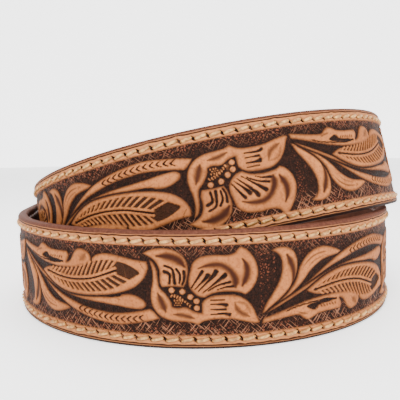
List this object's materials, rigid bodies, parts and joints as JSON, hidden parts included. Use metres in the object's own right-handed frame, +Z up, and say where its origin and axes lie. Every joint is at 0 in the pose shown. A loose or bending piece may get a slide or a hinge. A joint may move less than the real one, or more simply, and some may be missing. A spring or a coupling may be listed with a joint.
{
  "type": "western tooled belt",
  "caption": "Tooled leather belt rolled into two turns on its edge, with a punched pointed tip and a plain buckle held by a riveted fold.",
  "frame": {"origin": "middle of the coil's footprint, on the surface that the belt stands on", "axes": "+Z up along the strap's width, -Y towards the picture's viewer, +X to the viewer's right"},
  "size_m": [0.168, 0.173, 0.0763],
  "materials": {
    "tooled_leather": "carved natural leather with a dark dyed background and burnished edges",
    "stitch_thread": "waxed cream thread",
    "plain_metal": "satin"
  },
  "bodies": {
    "root": {"strap": "tooled_leather", "buckle": "plain_metal", "rivet_near_bar": "plain_metal", "rivet_far": "plain_metal"}
  },
  "joints": []
}
